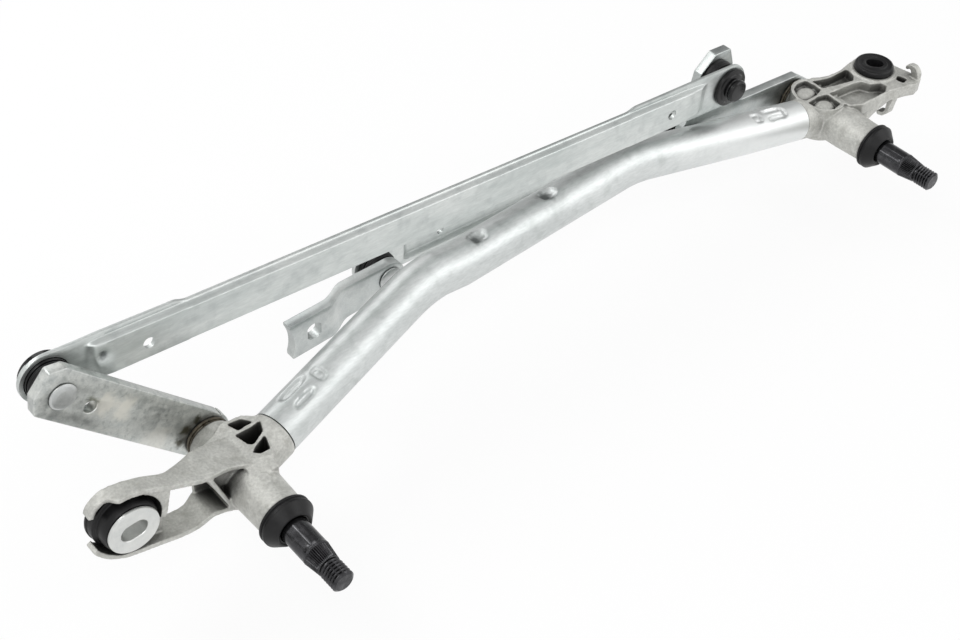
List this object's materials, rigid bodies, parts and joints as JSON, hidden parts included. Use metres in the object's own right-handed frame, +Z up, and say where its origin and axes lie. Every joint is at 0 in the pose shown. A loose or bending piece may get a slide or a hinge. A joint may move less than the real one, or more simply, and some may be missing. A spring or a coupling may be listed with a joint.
{
  "type": "wiper linkage",
  "caption": "Wiper linkage: bent tube frame with die-cast spindle housings, two spindles with levers, a long link and a short link with the motor crank.",
  "frame": {"origin": "centre of the near spindle's threaded end face", "axes": "X from the near spindle to the far one, Y from the threaded ends back to the levers, Z up"},
  "size_m": [0.5069, 0.1334, 0.0828],
  "materials": {
    "galvanised": "galvanised steel, cloudy spangle",
    "cast": "die-cast aluminium, sand-like skin",
    "rubber": "moulded black rubber",
    "plastic": "moulded black plastic",
    "blackened": "phosphated and oiled black steel",
    "bronze": "oil-filled sintered bronze",
    "spring": "hardened spring steel"
  },
  "bodies": {
    "frame": {"frame_tube": "galvanised", "near_housing": "cast", "far_housing": "cast", "near_seal_cap": "rubber", "far_seal_cap": "rubber", "near_grommet": "rubber", "near_grommet_sleeve": "galvanised", "far_grommet": "rubber", "near_front_bush": "bronze", "near_back_bush": "bronze", "far_front_bush": "bronze", "far_back_bush": "bronze", "near_thrust_washer": "spring", "far_thrust_washer": "spring"},
    "near_shaft": {"near_spindle": "blackened", "near_lever": "galvanised", "near_ball_stud": "galvanised", "near_retaining_ring": "spring"},
    "far_shaft": {"far_spindle": "blackened", "far_lever": "galvanised", "far_long_link_stud": "galvanised", "far_short_link_stud": "galvanised", "far_retaining_ring": "spring"},
    "long_link": {"long_link": "galvanised", "near_socket": "plastic", "near_boot": "rubber", "far_socket": "plastic", "far_boot": "rubber"},
    "short_link": {"short_link": "galvanised", "crank_short_socket": "plastic", "crank_short_boot": "rubber", "lever_short_socket": "plastic", "lever_short_boot": "rubber"},
    "crank": {"motor_crank": "galvanised", "crank_ball_stud": "galvanised"}
  },
  "joints": [
    {"name": "far_spindle_turn", "type": "hinge", "parent": "frame", "child": "far_shaft", "pos_m": [0.3817, 0.02136, 0], "axis": [0, 1, 0], "range_deg": [0, 73.2]},
    {"name": "near_spindle_turn", "type": "hinge", "parent": "frame", "child": "near_shaft", "pos_m": [0, 0, 0], "axis": [0, 1, 0], "range_deg": [0, 64]},
    {"name": "long_link_swing", "type": "hinge", "parent": "far_shaft", "child": "long_link", "pos_m": [0.3127, 0.1056, 0.039], "axis": [0, 1, 0], "range_deg": [-77, 0]},
    {"name": "short_link_swing", "type": "hinge", "parent": "far_shaft", "child": "short_link", "pos_m": [0.3067, 0.12756, 0.007], "axis": [0, 1, 0], "range_deg": [-74, 0]},
    {"name": "crank_turn", "type": "hinge", "parent": "short_link", "child": "crank", "pos_m": [0.1103, 0.12756, 0.0123], "axis": [0, 1, 0], "range_deg": [-60, 90]}
  ],
  "couplings": [
    {"joint": "near_spindle_turn", "follows": "far_spindle_turn", "ratio": 0.868},
    {"joint": "long_link_swing", "follows": "far_spindle_turn", "ratio": -1.0459},
    {"joint": "short_link_swing", "follows": "far_spindle_turn", "ratio": -1}
  ]
}
